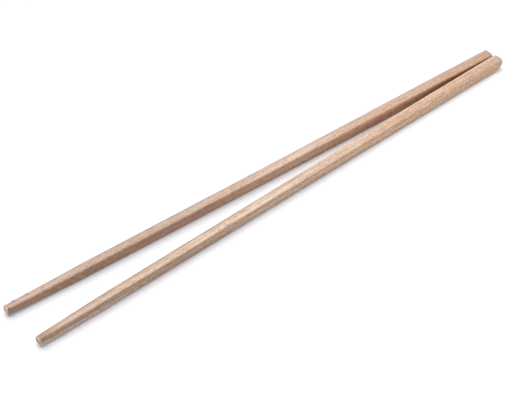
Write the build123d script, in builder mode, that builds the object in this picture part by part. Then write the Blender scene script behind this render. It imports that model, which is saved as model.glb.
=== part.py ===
from build123d import *
from math import atan, cos, degrees, radians, sin
import os

# A pair of plain wooden chopsticks lying on a table, butts side by side and tips spread apart.
# Millimetres. The tips point to -X, +Z is up and the table top is the plane z = 0.

# One stick: a straight taper from butt to tip, sharpened over its last stretch, the nose
stick_length = 240.0
butt_width = 4.95
taper_narrowing = 1.1
nose_length = 28.0
nose_narrowing = 0.8

# Sanded rounding: of the taper's long edges and the butt's rim, of the nose and of the tip's rim
edge_rounding = 0.75
nose_rounding = 0.95
tip_end_rounding = 0.5

# How the pair lies: the angle between the sticks, the slit between the butts, and how far
# the left butt stands out past the right one
splay_deg = 3.4
butt_gap = 0.15
butt_stagger = 0.45

# Slopes of one side of the taper and of the nose, and the width that is left at the tip
taper_slope = taper_narrowing / 2 / stick_length
nose_slope = taper_slope + nose_narrowing / 2 / nose_length
tip_width = butt_width - taper_narrowing - nose_narrowing

# Places that follow from the sizes above
half_splay = radians(splay_deg / 2)
pair_length = stick_length * cos(half_splay) + butt_stagger
butt_centre_y = (butt_width + butt_gap) / 2


def butt_plane(side, butt_x):
    """Plane of one stick's butt, z running along the stick to its tip.

    It leans by the slope of the taper, so the lower face of the stick lies on the table.
    """
    return Plane(
        origin=(butt_x, side * butt_centre_y, butt_width / 2),
        x_dir=(side * sin(half_splay), cos(half_splay), 0),
        z_dir=(-cos(half_splay), side * sin(half_splay), -taper_slope),
    )


def tapered_bar(base, base_width, slope, rounding):
    """Square bar of the stick's length, standing on a plane, its four sides drawn in by a slope."""
    with BuildPart(base) as bar:
        Box(base_width, base_width, stick_length, align=(Align.CENTER, Align.CENTER, Align.MIN))
        sides = bar.faces().filter_by(Axis(base.origin, base.z_dir), reverse=True)
        draft(sides, neutral_plane=base, angle=degrees(atan(slope)))
        fillet(bar.edges().group_by(SortBy.LENGTH)[-1], rounding)
    return bar.part


def shape_stick(butt):
    """Make one stick: what its taper and its nose have in common, with both ends sanded."""
    tip = -butt.offset(stick_length)
    add(tapered_bar(butt, butt_width, taper_slope, edge_rounding))
    add(tapered_bar(tip, tip_width, -nose_slope, nose_rounding), mode=Mode.INTERSECT)
    along = Axis(butt.origin, butt.z_dir)
    fillet(faces().sort_by(along)[0].edges(), edge_rounding)
    fillet(faces().sort_by(along)[-1].edges(), tip_end_rounding)


os.makedirs("parts", exist_ok=True)

# Left stick, as the hand that holds the butts sees it; its butt stands out by the stagger
with BuildPart() as left_chopstick:
    shape_stick(butt_plane(-1, pair_length / 2))
left_chopstick.part.label = "left_chopstick"
export_step(left_chopstick.part, "parts/left_chopstick.step")

# Right stick, the same shape turned the other way by half the splay
with BuildPart() as right_chopstick:
    shape_stick(butt_plane(1, pair_length / 2 - butt_stagger))
right_chopstick.part.label = "right_chopstick"
export_step(right_chopstick.part, "parts/right_chopstick.step")
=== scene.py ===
from math import atan2, cos, pi, radians, sin, sqrt

import bpy
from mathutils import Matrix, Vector, noise


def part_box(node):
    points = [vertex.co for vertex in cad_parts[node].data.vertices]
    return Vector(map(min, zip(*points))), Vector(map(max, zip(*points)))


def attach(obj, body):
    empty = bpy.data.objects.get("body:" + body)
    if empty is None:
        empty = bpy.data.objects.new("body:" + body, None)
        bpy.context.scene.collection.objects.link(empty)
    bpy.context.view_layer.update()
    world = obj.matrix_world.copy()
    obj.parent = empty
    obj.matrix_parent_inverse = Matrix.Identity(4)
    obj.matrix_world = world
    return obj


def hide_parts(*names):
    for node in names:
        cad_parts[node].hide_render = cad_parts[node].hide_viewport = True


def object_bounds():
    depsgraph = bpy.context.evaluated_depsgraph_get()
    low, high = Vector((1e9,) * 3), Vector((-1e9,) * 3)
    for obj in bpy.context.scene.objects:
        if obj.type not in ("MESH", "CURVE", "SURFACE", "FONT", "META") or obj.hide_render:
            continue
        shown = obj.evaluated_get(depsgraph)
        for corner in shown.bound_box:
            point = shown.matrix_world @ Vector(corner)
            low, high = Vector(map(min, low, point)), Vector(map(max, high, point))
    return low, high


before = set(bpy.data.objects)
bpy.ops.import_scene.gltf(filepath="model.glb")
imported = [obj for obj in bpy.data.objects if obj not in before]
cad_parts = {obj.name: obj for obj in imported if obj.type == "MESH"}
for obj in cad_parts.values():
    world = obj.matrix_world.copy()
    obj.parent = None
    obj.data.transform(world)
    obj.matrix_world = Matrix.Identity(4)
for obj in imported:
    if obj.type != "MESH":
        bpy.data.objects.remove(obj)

# A pair of plain wooden chopsticks on a white table top. Metres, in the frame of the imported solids:
# the tips point to -X, +Z is up and the table top is the plane z = 0. The left stick lies at -Y.
# A direction in a stick's section is an angle that turns from +Y to +Z.

cad_low, cad_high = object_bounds()
mm = 0.001

# One stick, as the solids have it: a straight taper that is sharpened over its last stretch, the nose
stick_length = cad_high.x - cad_low.x
butt_width = cad_high.z - cad_low.z
taper_narrowing = 1.1 * mm
nose_length = 28 * mm
nose_narrowing = 0.8 * mm
tip_width = butt_width - taper_narrowing - nose_narrowing

# Rounding: of the taper's edges and the butt's rim, of the nose's and the lower -Y edges, of the tip's rim
edge_rounding = 0.75 * mm
nose_rounding = 0.95 * mm
lower_rounding = 0.5 * mm
tip_end_rounding = 0.35 * mm
soft_tip_rounding = 0.65 * mm

# Worn corners of the butts: how softly the wear meets the faces, and what is left of the stick at least
corner_blend = 0.5
least_reach = 0.2 * mm

# What the sanding took off: a little all over, uneven along the stick, and between the fibres
sanding_loss = 0.03 * mm
uneven_depth = 0.04 * mm
uneven_length = 28 * mm
uneven_width = 3 * mm
fibre_depth = 0.012 * mm
fibre_length = 7 * mm
fibre_width = 0.32 * mm

# Chatter left by the blade across the tips: its reach, on which slopes it lies, its waver, and the painted
# shade in its grooves
chatter_pitch = 1.0 * mm
chatter_reach = 6.5 * mm
chatter_fade = 2.5 * mm
chatter_slopes = (0.2, 0.9)
waver_length = 3 * chatter_pitch
waver_turns = 2
waver_depth = 2.2
chatter_shade = 0.45
deepest_chatter = 0.045 * mm

# Grime of the long edges, which at the lower -Y edge is painted contact shade, and the pale upper +Y edge,
# partly rubbing and partly a painted highlight: how far round the section each is full and ends, and how it
# goes along the stick
grime_and_shade_core = radians(8)
grime_and_shade_reach = radians(19)
grime_lean = radians(9)
grime_and_shade_change_start = 100 * mm
grime_and_shade_change_end = 170 * mm
rub_highlight_core = radians(5)
rub_highlight_end = radians(13)
rub_highlight_fade = 30 * mm

# Wear of the ends: grimy tip rims with a painted highlight on their upper front, greying of the butts, and
# the end grain
rim_start = 0.85
rim_reach = 0.8 * mm
rim_grime = 0.7
rim_highlight = 0.5
greying_core = 0.3 * mm
greying_reach = 3.4 * mm
worn_greying = 0.5
end_grain_core = 0.1 * mm
end_grain_reach = 0.45 * mm

# Noise for each kind of mark in the wood: its length along the grain, its width, its detail and its draw
drift = (34 * mm, 6 * mm, 3.0, 0)
patches = (26 * mm, 2.4 * mm, 3.0, 1)
blushes = (16 * mm, 3.2 * mm, 2.0, 2)
ring_bends = (40 * mm, 9 * mm, 2.0, 3)
streaks = (12 * mm, 0.9 * mm, 3.0, 4)
fibres = (fibre_length, fibre_width, 3.0, 5)
mottles = (2.0 * mm, 0.36 * mm, 3.0, 6)
pores = (1.3 * mm, 0.18 * mm, 1.0, 7)
dashes = (6.5 * mm, 0.42 * mm, 3.0, 8)
breaks = (5 * mm, 1.2 * mm, 4.0, 9)
flecks = (1.9 * mm, 0.3 * mm, 1.0, 10)
clusters = (15 * mm, 1.7 * mm, 2.0, 11)

# How each kind shows: from which level of its noise to which, and with what share at the one and the other
patch_cut = (0.4, 0.7, 0.0, 0.4)
blush_cut = (0.48, 0.68, 0.0, 0.45)
late_cut = (0.45, 1.0, 0.0, 1.0)
streak_cut = (0.5, 0.8, 0.0, 0.6)
fibre_cut = (0.5, 0.75, 0.0, 0.4)
mottle_cut = (0.5, 0.75, 0.0, 0.6)
pale_mottle_cut = (0.5, 0.25, 0.0, 0.5)
pore_cut = (0.58, 0.74, 0.0, 0.95)
dash_cut = (0.38, 0.66, 0.0, 1.0)
break_cut = (0.35, 0.62, 0.4, 1.0)
fleck_cut = (0.5, 0.68, 0.0, 0.85)
pale_fleck_cut = (0.5, 0.3, 0.0, 0.4)
cluster_cut = (0.4, 0.6, 0.15, 1.0)

# Where other tones begin and are full: aside of the axis and above it, in shares of the half width there
heart_and_shade_aside = (0.8, 0.97)
far_heart_and_shade_aside = (-0.8, -0.97)
amber_aside_squared = (0.64, 0.94)
amber_height = (-0.15, 0.4)
greyish_aside = (0.05, 0.55)
greyish_height = (0.4, 0.8)
low_aside = (-0.7, -0.95)
low_height = (0.1, -0.5)

# Heartwood tone and painted shade along the stick: from where to where, and how much of it at the one and
# the other
heart_and_shade_at_butt = (26 * mm, 60 * mm, 0.95, 0.2)
heart_and_shade_at_tip = (130 * mm, 225 * mm, 0.0, 0.2)
far_heart_and_shade = (170 * mm, 215 * mm, 0.15, 0.0)

# Dashes of the flame: where they begin and are full across the stick, up in it and along it
flame_across = (0.6 * mm, -1.4 * mm)
flame_up = (-0.2 * mm, 1.4 * mm)
flame_along = (160 * mm, 70 * mm)

# Finish of the wood: how far its tones drift and its rings bend, its end grain, its relief and its gloss
drift_reach = 60 * mm
ring_bend = 14.0
end_grain_share = 0.65
fibre_relief = 0.6
pore_relief = 0.5
bump_strength = 0.4
bump_depth = 0.03 * mm
roughness_cut = (0.1, 0.5, 0.55, 0.72)
specular_level = 0.2

# Table top: its tone for light that goes on to the sticks, and the tone that the camera sees
table_tone = (0.68, 0.68, 0.69, 1)
seen_table_tone = (0.91, 0.922, 0.962, 1)

# How the values of a screen's colour turn into light
screen_knee = 0.04045
screen_slope = 12.92
screen_offset = 0.055
screen_power = 2.4

# Fineness of the meshes: vertices round a quarter of the section, and the steps along the stick
quarter_steps = 28
corner_crowding = 1.4
plain_step = 0.8 * mm
fine_step = 0.14 * mm
fine_stretch = 10 * mm
mark_steps = 12
rim_steps = 14
cap_steps = 9

# The camera of the photograph: where it looks, from which side, how far off and how long its lens is
look_at = Vector((-15.91, -1.0, 0)) * mm
camera_azimuth = radians(-40.84)
camera_elevation = radians(41.0)
camera_distance = 491.7 * mm
nearest_seen = camera_distance / 100
picture_width_px = 512
focal_length_px = 1300
sensor_width_mm = 36


class Mark:
    """A small flaw in a stick, a pit or a streak, stained dark.

    Its place is from the butt, across and up, and its size is its length, width and depth, in millimetres.
    """

    def __init__(self, place, size, stain_and_shade, slant=0.0):
        self.from_butt, self.across, self.up = [part * mm for part in place]
        self.length, self.width, self.depth = [part * mm for part in size]
        self.stain_and_shade = stain_and_shade
        self.slant = slant

    def strength(self, from_butt, across, up):
        """1 in the middle of the mark, 0 at its rim and beyond."""
        along = from_butt - self.from_butt
        aside = across - self.across - self.slant * along
        off = (2 * along / self.length) ** 2 + (aside ** 2 + (up - self.up) ** 2) * (2 / self.width) ** 2
        return max(0.0, 1 - off) ** 2


class Stick:
    """Where one stick lies and what is its own in shape and wear.

    bow: how far it bends aside, and how far towards the tip the bend lies
    lift: how far its tip is raised, and from where to where along the stick
    soft_edge: rounding of the upper -Y edge at the butt, and how far along the stick it fades
    worn_corners: for each, the direction it faces, how far along the stick it reaches and its depth
    grime_and_shade: for each long edge from the upper +Y one on, its share at the butt and at the tip; at
    the lower -Y edge it is painted contact shade
    """

    def __init__(
        self, node, slot, bow, lift, chatter_depth, soft_edge,
        worn_corners, grime_and_shade, tip_dirt, rub_highlight_reach, marks, seed,
    ):
        low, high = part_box(node)
        outward = -1 if low.y + high.y < 0 else 1
        butt_y = outward * (min(abs(low.y), abs(high.y)) + butt_width / 2)
        tip_y = outward * (max(abs(low.y), abs(high.y)) - tip_width / 2)
        lean = abs(tip_y - butt_y) / (high.x - low.x)
        butt_x = high.x - lean * (butt_width / 2 - edge_rounding) - sanding_loss
        tip_x = low.x + lean * (tip_width / 2 - tip_end_rounding) + sanding_loss
        self.node = node
        self.slot = slot
        self.butt = Vector((butt_x, butt_y, butt_width / 2))
        self.tip = Vector((tip_x, tip_y, (butt_width - taper_narrowing) / 2))
        self.length = (self.tip - self.butt).length
        self.along = (self.tip - self.butt).normalized()
        self.across = Vector((0, 0, 1)).cross(-self.along).normalized()
        self.upward = (-self.along).cross(self.across)
        self.bow = bow
        self.lift = lift
        self.chatter_depth = chatter_depth
        self.soft_edge = soft_edge
        self.worn_corners = worn_corners
        self.grime_and_shade = grime_and_shade
        self.tip_dirt = tip_dirt
        self.rub_highlight_reach = rub_highlight_reach
        self.marks = marks
        self.seed = seed

    def centre(self, from_butt):
        """Point of the stick's middle line in the shared frame."""
        share = min(1.0, from_butt / self.length)
        rise, start, end = self.lift
        depth, skew = self.bow
        aside = self.across * (depth * sin(pi * share ** skew))
        lifted = self.upward * (rise * smooth(start, end, from_butt))
        return self.butt + self.along * from_butt + aside + lifted

    def place(self, from_butt, across, up):
        """Point of the stick in the shared frame."""
        return self.centre(from_butt) + self.across * across + self.upward * up


def smooth(low, high, value):
    """0 below low, 1 above high and a soft rise between them."""
    share = min(1.0, max(0.0, (value - low) / (high - low)))
    return share * share * (3 - 2 * share)


def soft_smaller(first, second, blend):
    """The smaller of two lengths, with a soft passage where they are about the same."""
    share = min(1.0, max(0.0, 0.5 + 0.5 * (second - first) / blend))
    return first * share + second * (1 - share) - blend * share * (1 - share)


def section_reach(angle, half_width, rounding):
    """How far a square with rounded corners reaches from its middle in one direction."""
    off_face = abs((angle + pi / 4) % (pi / 2) - pi / 4)
    inner = half_width - rounding
    if off_face <= atan2(inner, half_width):
        return half_width / cos(off_face)
    lean = inner * (cos(off_face) + sin(off_face))
    return lean + sqrt(max(0.0, lean ** 2 - 2 * inner ** 2 + rounding ** 2))


def rim_inset(to_end, length, depth):
    """How far the rounding of an end has drawn the sides in, at a distance from that end."""
    if to_end >= length:
        return 0.0
    return depth * (1 - sqrt(1 - (1 - to_end / length) ** 2))


def quarter_of(angle):
    """Which quarter of the section an angle lies in; each quarter has one long edge in its middle."""
    return int(angle // (pi / 2)) % 4


def upper_front(angle):
    """1 at the upper edge on the -Y side of a section, 0 at the edge across from it."""
    return 0.5 - 0.5 * cos(angle + pi / 4)


def long_edge_rounding(stick, from_butt, angle):
    """Rounding of the nearest long edge, on the taper and on the nose."""
    quarter = quarter_of(angle)
    if quarter == 2:
        return lower_rounding, lower_rounding
    if quarter != 1:
        return edge_rounding, nose_rounding
    at_butt, reach = stick.soft_edge
    softened = (at_butt - edge_rounding) * (1 - smooth(0, reach, from_butt))
    return edge_rounding + softened, nose_rounding


def tip_rounding(angle):
    """Rounding of the tip's rim, which is softest at its upper corner on the -Y side."""
    return tip_end_rounding + (soft_tip_rounding - tip_end_rounding) * upper_front(angle)


def with_corner_worn(corner, reach, half_width, from_butt, angle):
    """A reach as it is after one corner of the butt has been worn round."""
    towards, length, depth = corner
    wear = rim_inset(from_butt, length, depth)
    facing = cos(angle - towards)
    if wear == 0 or facing <= 0:
        return reach
    limit = (section_reach(towards, half_width, edge_rounding) - wear) / facing
    return max(least_reach, soft_smaller(reach, limit, wear * corner_blend))


def stick_reach(stick, from_butt, angle):
    """How far the sanded stick reaches from its axis: the smaller of its taper and its nose."""
    to_tip = stick.length - from_butt
    taper_half = (butt_width - taper_narrowing * from_butt / stick.length) / 2
    nose_slope = (taper_narrowing / stick.length + nose_narrowing / nose_length) / 2
    nose_half = tip_width / 2 + nose_slope * to_tip
    on_taper, on_nose = long_edge_rounding(stick, from_butt, angle)
    at_tip = tip_rounding(angle)
    taper_reach = section_reach(angle, taper_half, on_taper)
    nose_reach = section_reach(angle, nose_half, on_nose)
    inset = rim_inset(from_butt, edge_rounding, edge_rounding) + rim_inset(to_tip, at_tip, at_tip)
    reach = min(taper_reach, nose_reach) * (1 - inset / min(taper_half, nose_half))
    for corner in stick.worn_corners:
        reach = with_corner_worn(corner, reach, taper_half, from_butt, angle)
    return reach


def grain_noise(stick, from_butt, across, up, length, width):
    """Noise between 0 and 1 whose cells are drawn out along the stick."""
    cell = Vector((from_butt / length + stick.seed, across / width, up / width))
    return 0.5 + 0.5 * noise.noise(cell)


def chatter(stick, from_butt, angle):
    """Share of the chatter's depth at a place near the tip, most of it on the upper face."""
    to_tip = stick.length - from_butt
    fade = 1 - smooth(chatter_reach - chatter_fade, chatter_reach, to_tip)
    fade *= smooth(*chatter_slopes, sin(angle)) * smooth(0, chatter_pitch, to_tip)
    if fade == 0:
        return 0.0
    waver = noise.noise(Vector((from_butt / waver_length, waver_turns * angle, stick.seed)))
    wave = 0.5 + 0.5 * cos(2 * pi * from_butt / chatter_pitch + waver_depth * waver)
    return wave * fade


def surface(stick, from_butt, angle, share):
    """Place in the section of a surface point, and how dark it is from the stains of marks and from painted
    shade in the chatter's grooves; a share below 1 is inside an end face.
    """
    reach = stick_reach(stick, from_butt, angle)
    across = cos(angle) * reach * share
    up = sin(angle) * reach * share
    groove = chatter(stick, from_butt, angle)
    loss = sanding_loss
    loss += uneven_depth * grain_noise(stick, from_butt, across, up, uneven_length, uneven_width)
    loss += fibre_depth * grain_noise(stick, from_butt, across, up, fibre_length, fibre_width)
    loss += stick.chatter_depth * groove
    # Painted shade in the chatter's grooves, darkest where they are deepest
    stain_and_shade = chatter_shade * groove * stick.chatter_depth / deepest_chatter
    for mark in stick.marks:
        strength = mark.strength(from_butt, across, up)
        loss += mark.depth * strength
        stain_and_shade = max(stain_and_shade, mark.stain_and_shade * strength)
    left = 1 - loss / reach
    return across * left, up * left, stain_and_shade


def ring_angles():
    """Directions of one ring's vertices, crowded at the four long edges."""
    angles = []
    for quarter in range(4):
        for step in range(quarter_steps):
            off = 2 * step / quarter_steps - 1
            swing = abs(off) ** corner_crowding * pi / 4
            angles.append(quarter * pi / 2 + pi / 4 + (swing if off > 0 else -swing))
    return angles


def ring_places(stick):
    """Distances of the rings from the butt, close together at the ends and about the marks."""
    rim_length = max(length for towards, length, depth in stick.worn_corners)
    places = [rim_length * (1 - cos(pi / 2 * step / rim_steps)) for step in range(rim_steps + 1)]
    last = stick.length - soft_tip_rounding
    while places[-1] < last - fine_step:
        here = places[-1]
        step = fine_step if here > stick.length - fine_stretch else plain_step
        for mark in stick.marks:
            if abs(here - mark.from_butt) < mark.length / 2 + plain_step:
                step = min(step, mark.length / mark_steps)
        places.append(min(last, here + step))
    for step in range(rim_steps):
        places.append(stick.length - soft_tip_rounding * (1 - sin(pi / 2 * (step + 1) / rim_steps)))
    return places


def stick_rings(stick):
    """Rings from the middle of the butt's end face over the sides to the middle of the tip's."""
    places = ring_places(stick)
    rings = [(places[0], step / cap_steps) for step in range(1, cap_steps)]
    rings += [(place, 1.0) for place in places]
    rings += [(places[-1], step / cap_steps) for step in range(cap_steps - 1, 0, -1)]
    return rings


def edge_wear_and_light(stick, from_butt, angle):
    """Grime on the long edge near an angle, which at the lower -Y edge is painted contact shade, and how far
    the upper edge at the +Y side is pale, partly from rubbing and partly as a painted highlight.
    """
    quarter = quarter_of(angle)
    off_edge = angle % (pi / 2) - pi / 4
    lean = 0.0
    rubbed_and_lit = 0.0
    if quarter == 0:
        lean = grime_lean
        rubbed_and_lit = 1 - smooth(stick.rub_highlight_reach - rub_highlight_fade, stick.rub_highlight_reach, from_butt)
    closeness = 1 - smooth(grime_and_shade_core, grime_and_shade_reach, abs(off_edge - lean))
    at_butt, at_tip = stick.grime_and_shade[quarter]
    grime_and_shade = at_butt + (at_tip - at_butt) * smooth(grime_and_shade_change_start, grime_and_shade_change_end, from_butt)
    rub_and_highlight = rubbed_and_lit * (1 - smooth(rub_highlight_core, rub_highlight_end, abs(off_edge)))
    return grime_and_shade * closeness * (1 - rubbed_and_lit), rub_and_highlight


def butt_greying(stick, from_butt, angle):
    """How far the butt has gone grey: next to its rim, and where its corners are worn."""
    greying = smooth(-greying_core, greying_core, from_butt)
    greying *= 1 - smooth(greying_core, greying_reach, from_butt)
    for towards, length, depth in stick.worn_corners:
        worn = rim_inset(from_butt, length, depth) / depth * max(0.0, cos(angle - towards))
        greying = max(greying, worn * worn_greying)
    return greying


def wear_and_light_shares(stick, from_butt, angle, share):
    """How grey the wood is at a surface point; its grime and painted shade; its pale rubbing and painted
    highlights; and how much of its end grain shows.
    """
    to_tip = stick.length - from_butt
    end_grain = 1 - smooth(end_grain_core, end_grain_reach, min(from_butt, to_tip))
    at_rim = smooth(rim_start, 1.0, share)
    tip_rim = at_rim * (1 - smooth(0, rim_reach, to_tip))
    pale = upper_front(angle)
    dirt = 0.0
    if from_butt > to_tip:
        dirt = stick.tip_dirt * end_grain * (1 - at_rim * pale)
    grime_and_shade, rub_and_highlight = edge_wear_and_light(stick, from_butt, angle)
    return {
        "greying": butt_greying(stick, from_butt, angle) * at_rim,
        # Grime with painted contact shade, and pale rubbing with painted highlights on the upper front of
        # the tips' rims
        "grime_and_shade": max(tip_rim * rim_grime * (1 - pale), grime_and_shade * at_rim, dirt),
        "rub_and_highlight": max(tip_rim * rim_highlight * pale, rub_and_highlight * at_rim),
        "end_grain": end_grain,
    }


def stick_faces(rings, count):
    """Faces between rings of as many vertices each, closed by a fan round the middle of both end faces."""
    faces = []
    for ring in range(rings - 1):
        base = ring * count
        for step in range(count):
            after = (step + 1) % count
            faces.append((base + step, base + count + step, base + count + after, base + after))
    first_middle = rings * count
    last_ring = first_middle - count
    for step in range(count):
        after = (step + 1) % count
        faces.append((first_middle, step, after))
        faces.append((first_middle + 1, last_ring + after, last_ring + step))
    return faces


def stick_mesh(stick):
    """Mesh of one stick, with what its wood needs to know at each vertex."""
    angles = ring_angles()
    rings = stick_rings(stick)
    points = []
    grain = []
    shares = {"greying": [], "grime_and_shade": [], "rub_and_highlight": [], "end_grain": [], "stain_and_shade": []}

    def add_point(from_butt, across, up, values):
        points.append(stick.place(from_butt, across, up))
        grain.extend((from_butt, across, up))
        for name in shares:
            shares[name].append(values.get(name, 0.0))

    for from_butt, share in rings:
        for angle in angles:
            across, up, stain_and_shade = surface(stick, from_butt, angle, share)
            values = wear_and_light_shares(stick, from_butt, angle, share)
            values["stain_and_shade"] = stain_and_shade
            add_point(from_butt, across, up, values)
    for middle in (0, stick.length):
        add_point(middle, 0, 0, {"end_grain": 1.0})

    mesh = bpy.data.meshes.new(stick.node + "_wood")
    mesh.from_pydata(points, [], stick_faces(len(rings), len(angles)))
    mesh.attributes.new("grain_place", "FLOAT_VECTOR", "POINT").data.foreach_set("vector", grain)
    for name, values in shares.items():
        mesh.attributes.new(name, "FLOAT", "POINT").data.foreach_set("value", values)
    mesh.polygons.foreach_set("use_smooth", [True] * len(mesh.polygons))
    mesh.update()
    return mesh


def linear(red, green, blue):
    """A colour as a screen shows it, 0 to 255, in the linear values that a shader takes."""
    colour = []
    for part in (red / 255, green / 255, blue / 255):
        if part <= screen_knee:
            colour.append(part / screen_slope)
        else:
            colour.append(((part + screen_offset) / (1 + screen_offset)) ** screen_power)
    return colour + [1.0]


class Shader:
    """The node tree of a material or of the sky, with short ways to add and join its nodes."""

    def __init__(self, tree):
        self.tree = tree
        self.tree.nodes.clear()

    def node(self, kind, settings=None, **inputs):
        """A new node with its settings and inputs, where _ stands for a blank in an input's name."""
        made = self.tree.nodes.new("ShaderNode" + kind)
        for name, value in (settings or {}).items():
            setattr(made, name, value)
        for name, value in inputs.items():
            self.put(made.inputs[name.replace("_", " ")], value)
        return made

    def put(self, socket, value):
        """Join another node's output to a socket, or set the socket to a plain value."""
        if isinstance(value, bpy.types.NodeSocket):
            self.tree.links.new(value, socket)
        else:
            socket.default_value = value

    def attribute(self, name, output="Fac"):
        """What the mesh says at each vertex under a name."""
        return self.node("Attribute", {"attribute_name": name}).outputs[output]

    def ramp(self, value, low, high, start=0.0, end=1.0):
        """A value that goes softly from start, where another is low, to end, where that one is high."""
        limits = {"From_Min": low, "From_Max": high, "To_Min": start, "To_Max": end}
        made = self.node("MapRange", {"interpolation_type": "SMOOTHSTEP"}, Value=value, **limits)
        return made.outputs["Result"]

    def tones(self, value, stops):
        """Colour that runs through the stops, each a place from 0 to 1 and a colour."""
        made = self.node("ValToRGB", Fac=value)
        stretch = made.color_ramp.elements
        while len(stretch) < len(stops):
            stretch.new(0.5)
        for element, (position, colour) in zip(stretch, stops):
            element.position = position
            element.color = colour
        return made.outputs["Color"]

    def math(self, operation, first, second):
        """What an operation makes of two values."""
        made = self.node("Math", {"operation": operation})
        self.put(made.inputs[0], first)
        self.put(made.inputs[1], second)
        return made.outputs[0]

    def product(self, first, *others):
        """Several values multiplied together."""
        for other in others:
            first = self.math("MULTIPLY", first, other)
        return first

    def mix(self, share, first, second):
        """The first colour with a share of the second in it."""
        return self.node("MixRGB", Fac=share, Color1=first, Color2=second).outputs["Color"]

    def seen(self):
        """1 for what the camera sees, straight, in a gloss or through glass, and 0 for other light."""
        rays = self.node("LightPath")
        straight = self.math("MAXIMUM", rays.outputs["Is Camera Ray"], rays.outputs["Is Glossy Ray"])
        return self.math("MAXIMUM", straight, rays.outputs["Is Transmission Ray"])

    def finish(self, kind, surface):
        """Give the material or the sky its surface."""
        self.put(self.node(kind).inputs["Surface"], surface)


class Wood(Shader):
    """The node tree of one stick's wood, which knows where in its stick a point lies."""

    def __init__(self, tree, tones, seed):
        super().__init__(tree)
        self.tone = tones
        self.seed = seed
        self.place = self.attribute("grain_place", "Vector")
        parts = self.node("SeparateXYZ", Vector=self.place)
        self.from_butt = parts.outputs["X"]
        self.across = parts.outputs["Y"]
        self.up = parts.outputs["Z"]
        half_width = self.half_width()
        self.aside = self.math("DIVIDE", self.across, half_width)
        self.height = self.math("DIVIDE", self.up, half_width)

    def half_width(self):
        """Half of the stick's width at a distance from the butt, as the solids have it."""
        to_tip = self.math("SUBTRACT", stick_length, self.from_butt)
        taper = self.product(self.from_butt, -taper_narrowing / stick_length / 2)
        nose_slope = (taper_narrowing / stick_length + nose_narrowing / nose_length) / 2
        nose = self.math("ADD", self.product(to_tip, nose_slope), tip_width / 2)
        return self.math("MINIMUM", self.math("ADD", taper, butt_width / 2), nose)

    def noise(self, kind):
        """Noise for one kind of mark, its cells drawn out along the stick."""
        length, width, detail, draw = kind
        scale = (1 / length, 1 / width, 1 / width)
        moved = (self.seed + draw, self.seed + draw, 0)
        where = self.node("Mapping", Vector=self.place, Scale=scale, Location=moved)
        return self.node("TexNoise", Vector=where.outputs["Vector"], Scale=1.0, Detail=detail).outputs["Fac"]


def tone_and_light_along(wood):
    """Colour that changes along the stick, in long uneven patches, some of them warmer; partly the wood's
    own tone, partly painted light that makes the stick brightest about its middle.
    """
    shift = wood.product(wood.math("SUBTRACT", wood.noise(drift), 0.5), drift_reach)
    shifted = wood.math("ADD", wood.from_butt, shift)
    colour = wood.tones(wood.math("DIVIDE", shifted, stick_length), wood.tone["along"])
    colour = wood.mix(wood.ramp(wood.noise(patches), *patch_cut), colour, wood.tone["warm"])
    return wood.mix(wood.ramp(wood.noise(blushes), *blush_cut), colour, wood.tone["rosy"])


def end_grain(wood, colour):
    """The tone of wood that is cut across."""
    return wood.mix(wood.product(wood.attribute("end_grain"), end_grain_share), colour, wood.tone["end"])


def growth_rings(wood, colour, pith, figure):
    """Late wood in rings about a pith outside the stick, a little out of line with it."""
    offset, tilt, spacing = pith
    tilted = wood.node("Mapping", Vector=wood.place, Location=offset, Rotation=tilt)
    bend = wood.product(wood.noise(ring_bends), ring_bend)
    rings = wood.node(
        "TexWave",
        {"wave_type": "RINGS", "rings_direction": "X"},
        Vector=tilted.outputs["Vector"],
        Scale=spacing,
        Phase_Offset=bend,
    )
    late = wood.ramp(rings.outputs["Fac"], *late_cut)
    return wood.mix(wood.product(late, figure), colour, wood.tone["late"])


def heartwood_and_shade(wood, colour, inward):
    """Darker sides, partly heartwood tone and partly painted shade, darkest in the narrow gap where one
    stick faces the other at the butt.
    """
    depth = wood.product(wood.aside, inward)
    # Painted shade on the side that faces the other stick, darkest in the narrow gap at the butt
    at_butt = wood.ramp(wood.from_butt, *heart_and_shade_at_butt)
    inner = wood.math("ADD", at_butt, wood.ramp(wood.from_butt, *heart_and_shade_at_tip))
    colour = wood.mix(wood.product(wood.ramp(depth, *heart_and_shade_aside), inner), colour, wood.tone["heart_and_shade"])
    # Painted shade on the outer side, which ends near the tip
    outer = wood.ramp(wood.from_butt, *far_heart_and_shade)
    return wood.mix(wood.product(wood.ramp(depth, *far_heart_and_shade_aside), outer), colour, wood.tone["heart_and_shade"])


def amber_sides(wood, colour, stretch):
    """Warmer wood on both sides under the upper edges; it begins on its way from the butt, then fades."""
    start, full, most, fade, end, least = stretch
    sides = wood.ramp(wood.product(wood.aside, wood.aside), *amber_aside_squared)
    faded = wood.ramp(wood.from_butt, fade, end, 0.0, most - least)
    share = wood.math("SUBTRACT", wood.ramp(wood.from_butt, start, full, 0.0, most), faded)
    zone = wood.product(sides, wood.ramp(wood.height, *amber_height), share)
    return wood.mix(zone, colour, wood.tone["amber"])


def greyish_upper_face(wood, colour, stretch):
    """Greyer wood on the upper face towards its +Y side, from a place along the stick on."""
    start, full, most = stretch
    zone = wood.product(
        wood.ramp(wood.aside, *greyish_aside),
        wood.ramp(wood.height, *greyish_height),
        wood.ramp(wood.from_butt, start, full, 0.0, most),
    )
    return wood.mix(zone, colour, wood.tone["greyish"])


def low_side(wood, colour, tone, stretch):
    """Another tone low on the side that faces -Y, along a stretch of the stick."""
    start, full, fade, end, most = stretch
    zone = wood.product(
        wood.ramp(wood.aside, *low_aside),
        wood.ramp(wood.height, *low_height),
        wood.ramp(wood.from_butt, start, full, 0.0, most),
        wood.ramp(wood.from_butt, end, fade),
    )
    return wood.mix(zone, colour, tone)


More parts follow.
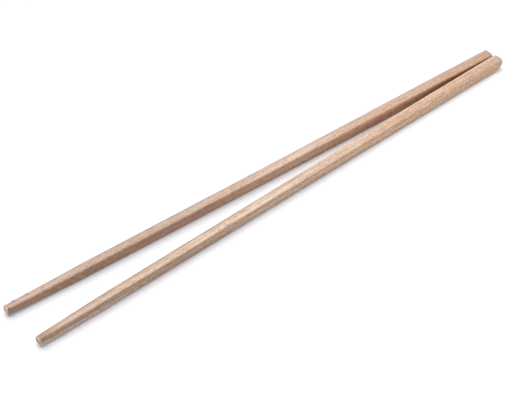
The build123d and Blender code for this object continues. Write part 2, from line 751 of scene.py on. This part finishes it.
def flame(wood, colour, strength):
    """Dark dashes along the upper edge at the -Y side, from the butt to the middle of the stick."""
    zone = wood.product(
        wood.ramp(wood.across, *flame_across),
        strength,
        wood.ramp(wood.from_butt, *flame_along),
        wood.ramp(wood.up, *flame_up),
    )
    shown = wood.product(zone, wood.ramp(wood.noise(dashes), *dash_cut))
    return wood.mix(shown, colour, wood.tone["late"])


def fibres_and_pores(wood, colour):
    """Streaks, fibres, mottles, flecks and pores in a colour, and the relief that they leave."""
    colour = wood.mix(wood.ramp(wood.noise(streaks), *streak_cut), colour, wood.tone["late"])
    fibre = wood.noise(fibres)
    colour = wood.mix(wood.ramp(fibre, *fibre_cut), colour, wood.tone["fibre"])
    mottle = wood.noise(mottles)
    colour = wood.mix(wood.ramp(mottle, *mottle_cut), colour, wood.tone["fibre"])
    colour = wood.mix(wood.ramp(mottle, *pale_mottle_cut), colour, wood.tone["pale"])
    fleck = wood.noise(flecks)
    cluster = wood.ramp(wood.noise(clusters), *cluster_cut)
    colour = wood.mix(wood.product(wood.ramp(fleck, *fleck_cut), cluster), colour, wood.tone["fibre"])
    colour = wood.mix(wood.ramp(fleck, *pale_fleck_cut), colour, wood.tone["pale"])
    pore = wood.product(wood.ramp(wood.noise(pores), *pore_cut), cluster)
    colour = wood.mix(pore, colour, wood.tone["pore"])
    relief = wood.math("SUBTRACT", wood.product(fibre, fibre_relief), wood.product(pore, pore_relief))
    return colour, relief


def worn(wood, colour, kind, tone):
    """The tone of one kind of mark of the edges and ends, broken up along the grain; the kinds are greying,
    grime with painted shade, and pale rubbing with painted highlights.
    """
    left = wood.ramp(wood.noise(breaks), *break_cut)
    return wood.mix(wood.product(wood.attribute(kind), left), colour, wood.tone[tone])


def wood_material(name, tones, seed, pith, figure, flames, inward, amber, greyish, low_sides):
    """Bare sanded wood with heartwood, growth rings, fibres, pores, worn edges, end grain and stains, and
    with painted light and shade: light about the middle of the stick, shade between the sticks, low on the
    sides and at the lower edges, and highlights on edges and rims.

    pith: where the middle of the rings lies beside the stick, how it is tilted, and how close the rings are
    figure, flames: how strongly the rings and the dashes show
    inward: the sign of the side that faces the other stick
    amber: where it starts and is full, its most, where it fades and ends, its least
    greyish: where it starts and is full, its most
    low_sides: for each, its tone, and where it starts, is full, fades and ends, its most
    """
    material = bpy.data.materials.new(name)
    material.use_nodes = True
    wood = Wood(material.node_tree, tones, seed)
    colour = end_grain(wood, tone_and_light_along(wood))
    colour = growth_rings(wood, colour, pith, figure)
    colour = heartwood_and_shade(wood, colour, inward)
    colour = amber_sides(wood, colour, amber)
    colour = greyish_upper_face(wood, colour, greyish)
    for tone, stretch in low_sides:
        colour = low_side(wood, colour, tones[tone], stretch)
    colour = flame(wood, colour, flames)
    colour = worn(wood, colour, "greying", "greyed")
    colour, relief = fibres_and_pores(wood, colour)
    # Pale line along the upper +Y edge near the butt, partly rubbing and partly a painted highlight, and
    # painted highlights on the upper front of the tips' rims
    colour = worn(wood, colour, "rub_and_highlight", "rubbed_and_lit")
    # Grime of the edges and tips, with painted contact shade at the lower -Y edge
    colour = worn(wood, colour, "grime_and_shade", "grime_and_shade")
    # Stains of the marks, and painted shade in the chatter's grooves near the tips
    colour = wood.mix(wood.attribute("stain_and_shade"), colour, tones["stain_and_shade"])
    bump = wood.node("Bump", Height=relief, Strength=bump_strength, Distance=bump_depth)
    shine = wood.node(
        "BsdfPrincipled",
        Base_Color=colour,
        Roughness=wood.ramp(relief, *roughness_cut),
        Specular_IOR_Level=specular_level,
        Normal=bump.outputs["Normal"],
    )
    wood.finish("OutputMaterial", shine.outputs["BSDF"])
    return material


def add_stick(stick, material):
    """Put one stick in place of its solid."""
    mesh = stick_mesh(stick)
    mesh.materials.append(material)
    piece = bpy.data.objects.new(stick.node + "_wood", mesh)
    bpy.context.scene.collection.objects.link(piece)
    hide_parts(stick.node)
    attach(piece, "root")


def table_material(glow):
    """White paint that keeps a shadow, with a glow of its own that makes it white for the camera."""
    material = bpy.data.materials.new("white_table")
    material.use_nodes = True
    table = Shader(material.node_tree)
    by_camera = table.node("LightPath").outputs["Is Camera Ray"]
    paint = table.node("BsdfDiffuse", Color=table.mix(by_camera, table_tone, seen_table_tone))
    light = table.node("Emission", Strength=table.product(table.seen(), glow))
    both = table.node("AddShader")
    table.put(both.inputs[0], paint.outputs["BSDF"])
    table.put(both.inputs[1], light.outputs["Emission"])
    table.finish("OutputMaterial", both.outputs["Shader"])
    return material


def add_floor(reach, glow):
    """Table top round the sticks."""
    corners = [(x * reach, y * reach, 0) for x, y in ((-1, -1), (1, -1), (1, 1), (-1, 1))]
    mesh = bpy.data.meshes.new("floor")
    mesh.from_pydata(corners, [], [(0, 1, 2, 3)])
    mesh.materials.append(table_material(glow))
    floor = bpy.data.objects.new("floor", mesh)
    bpy.context.scene.collection.objects.link(floor)


def add_sky(strength):
    """Even white light from all round, white where the camera sees it."""
    world = bpy.data.worlds.new("studio")
    world.use_nodes = True
    bpy.context.scene.world = world
    sky = Shader(world.node_tree)
    level = sky.ramp(sky.seen(), 0, 1, strength, 1.0)
    back = sky.node("Background", Color=(1, 1, 1, 1), Strength=level)
    sky.finish("OutputWorld", back.outputs["Background"])


def aim(thing, place, target):
    """Put a lamp or the camera at a place, looking at a target."""
    thing.location = place
    thing.rotation_mode = "QUATERNION"
    thing.rotation_quaternion = (target - place).to_track_quat("-Z", "Y")


def direction(azimuth, elevation):
    """Unit vector to a place round the object; azimuth 0 is at -Y and a quarter turn is at +X."""
    return Vector((sin(azimuth) * cos(elevation), -cos(azimuth) * cos(elevation), sin(elevation)))


def add_key(azimuth, elevation, spread, strength):
    """Broad soft light from high behind the sticks."""
    lamp = bpy.data.lights.new("key", "SUN")
    lamp.energy = strength
    lamp.angle = spread
    key = bpy.data.objects.new("key", lamp)
    bpy.context.scene.collection.objects.link(key)
    aim(key, direction(azimuth, elevation), Vector())


def add_fill(name, place, target, size, power):
    """Small softbox that no camera sees; places and size in metres, power in watts."""
    lamp = bpy.data.lights.new(name, "AREA")
    lamp.shape = "DISK"
    lamp.size = size
    lamp.energy = power
    fill = bpy.data.objects.new(name, lamp)
    fill.visible_camera = False
    bpy.context.scene.collection.objects.link(fill)
    aim(fill, Vector(place), Vector(target))


def add_camera():
    """Camera of the photograph."""
    data = bpy.data.cameras.new("camera")
    data.sensor_fit = "HORIZONTAL"
    data.sensor_width = sensor_width_mm
    data.lens = sensor_width_mm * focal_length_px / picture_width_px
    data.clip_start = nearest_seen
    camera = bpy.data.objects.new("camera", data)
    bpy.context.scene.collection.objects.link(camera)
    aim(camera, look_at + direction(camera_azimuth, camera_elevation) * camera_distance, look_at)
    bpy.context.scene.camera = camera


left_stick = Stick(
    "left_chopstick",
    "left_wood",
    bow=(0.25 * mm, 0.7),
    lift=(0.24 * mm, 200 * mm, 228 * mm),
    chatter_depth=deepest_chatter,
    soft_edge=(2.2 * mm, 110 * mm),
    worn_corners=[(radians(236), 5.8 * mm, 2.6 * mm), (radians(160), 2.4 * mm, 0.6 * mm)],
    # The lower -Y edge's share, most of it at the butt, is painted contact shade
    grime_and_shade=[(0.15, 0.5), (0.03, 0.1), (0.5, 0.05), (0.2, 0.7)],
    tip_dirt=0.4,
    # How far from the butt the upper +Y edge is pale, partly rubbing and partly a painted highlight
    rub_highlight_reach=85 * mm,
    marks=[
        Mark(place=(200.4, -1.2, 1.95), size=(0.9, 0.7, 0.08), stain_and_shade=1.0),
        Mark(place=(218, 1.1, 1.9), size=(9, 0.5, 0.02), stain_and_shade=0.5),
        Mark(place=(121, -2.2, 0.6), size=(7, 0.8, 0), stain_and_shade=0.3),
    ],
    seed=1.0,
)
right_stick = Stick(
    "right_chopstick",
    "right_wood",
    bow=(-0.3 * mm, 1.45),
    lift=(0.2 * mm, 220 * mm, 240 * mm),
    chatter_depth=0.012 * mm,
    soft_edge=(0.9 * mm, 60 * mm),
    worn_corners=[(radians(236), 1.6 * mm, 0.6 * mm), (radians(135), 2.6 * mm, 1.1 * mm)],
    # The lower -Y edge's share is painted contact shade
    grime_and_shade=[(0.12, 0.4), (0.03, 0.1), (0.3, 0.15), (0.2, 0.7)],
    tip_dirt=0.1,
    rub_highlight_reach=0,
    marks=[
        Mark(place=(230.8, 1.12, 1.6), size=(2.4, 1.8, 0.03), stain_and_shade=1.0),
        Mark(place=(236.1, 1.03, 1.5), size=(2.3, 1.7, 0.05), stain_and_shade=1.0),
        Mark(place=(177.5, 1.2, 2.05), size=(12, 0.5, 0.02), stain_and_shade=0.4, slant=-0.06),
        Mark(place=(129.5, -2.2, 0.2), size=(5, 0.9, 0.02), stain_and_shade=0.45),
        Mark(place=(155, -2.0, 1.6), size=(11, 0.8, 0), stain_and_shade=0.35),
        Mark(place=(239.0, -1.25, 1.2), size=(1.5, 1.2, 0.05), stain_and_shade=0.7),
    ],
    seed=21.0,
)

left_tones = {
    # Along the stick: partly the wood's own tone, partly painted light that is brightest about the middle
    "along": [
        (0.0, linear(214, 180, 155)),
        (0.12, linear(217, 183, 157)),
        (0.3, linear(224, 190, 162)),
        (0.44, linear(250, 228, 208)),
        (0.64, linear(252, 230, 211)),
        (0.78, linear(239, 212, 192)),
        (0.9, linear(222, 193, 171)),
        (1.0, linear(186, 156, 128)),
    ],
    "warm": linear(222, 186, 154),
    "rosy": linear(226, 186, 164),
    "late": linear(184, 143, 110),
    # Heartwood tone, also the painted shade between the sticks and on their sides
    "heart_and_shade": linear(168, 116, 80),
    "amber": linear(198, 126, 76),
    "greyish": linear(192, 178, 166),
    "shaded": linear(160, 142, 128),
    "fibre": linear(198, 158, 128),
    "pale": linear(248, 226, 206),
    "pore": linear(150, 108, 80),
    "end": linear(206, 182, 158),
    # Pale of rubbing, also the painted highlights and the painted floor reflection low on the near tip's
    # side
    "rubbed_and_lit": linear(255, 243, 228),
    "greyed": linear(188, 175, 163),
    # Grime, also the painted contact shade at the lower edges
    "grime_and_shade": linear(138, 125, 114),
    # Stains, also the painted shade in the chatter's grooves
    "stain_and_shade": linear(92, 62, 44),
}
right_tones = {
    # Along the stick: partly the wood's own tone, partly painted light that is brightest about the middle
    "along": [
        (0.0, linear(172, 134, 104)),
        (0.12, linear(207, 169, 141)),
        (0.3, linear(211, 178, 154)),
        (0.46, linear(243, 221, 203)),
        (0.6, linear(220, 193, 173)),
        (0.74, linear(201, 177, 164)),
        (0.86, linear(204, 180, 164)),
        (1.0, linear(226, 208, 190)),
    ],
    "warm": linear(216, 176, 148),
    "rosy": linear(216, 170, 152),
    "late": linear(194, 151, 126),
    # Heartwood tone, also the painted shade between the sticks and on their sides
    "heart_and_shade": linear(146, 86, 46),
    "amber": linear(198, 126, 76),
    "greyish": linear(204, 196, 188),
    "fibre": linear(194, 152, 126),
    "pale": linear(238, 211, 192),
    "pore": linear(146, 102, 80),
    "end": linear(232, 212, 196),
    # Pale of rubbing, also the painted highlights on the tip rims
    "rubbed_and_lit": linear(246, 222, 206),
    "greyed": linear(176, 158, 146),
    # Grime, also the painted contact shade at the lower edges
    "grime_and_shade": linear(136, 124, 115),
    # Stains, also the painted shade in the chatter's grooves
    "stain_and_shade": linear(66, 54, 48),
}

left_wood = wood_material(
    "left_wood",
    left_tones,
    seed=left_stick.seed,
    pith=((0, 4 * mm, 9 * mm), (0, 0.03, 0.02), 170),
    figure=0.4,
    flames=0.9,
    inward=1,
    amber=(45 * mm, 85 * mm, 0.36, 180 * mm, 240 * mm, 0.15),
    greyish=(60 * mm, 170 * mm, 0.6),
    low_sides=[
        # Painted shade low on the -Y side along most of the stick, and painted floor reflection low on that
        # side near the tip
        ("shaded", (5 * mm, 40 * mm, 165 * mm, 205 * mm, 0.4)),
        ("rubbed_and_lit", (190 * mm, 220 * mm, 240 * mm, 260 * mm, 0.95)),
    ],
)
right_wood = wood_material(
    "right_wood",
    right_tones,
    seed=right_stick.seed,
    pith=((0, -7 * mm, 8 * mm), (0, 0.01, -0.01), 150),
    figure=0.3,
    flames=0.2,
    inward=-1,
    amber=(30 * mm, 60 * mm, 0.66, 60 * mm, 170 * mm, 0.3),
    greyish=(-20 * mm, 0.0, 0.4),
    low_sides=[("greyish", (45 * mm, 75 * mm, 200 * mm, 235 * mm, 0.13))],
)
add_stick(left_stick, left_wood)
add_stick(right_stick, right_wood)

add_floor(reach=3.0, glow=0.12)
add_sky(strength=0.19)
add_key(azimuth=radians(165), elevation=radians(66), spread=radians(65), strength=0.845 * pi)
add_fill("butt_fill", place=(0.085, -0.14, 0.05), target=(0.04, 0, 0), size=0.07, power=0.08)
add_fill("end_fill", place=(0.19, -0.04, 0.03), target=(0.12, 0, 0), size=0.05, power=0.012)
add_fill("tip_fill", place=(-0.3, 0.01, 0.03), target=(-0.12, 0, 0), size=0.05, power=0.08)
add_camera()
bpy.context.scene.view_settings.view_transform = "Standard"
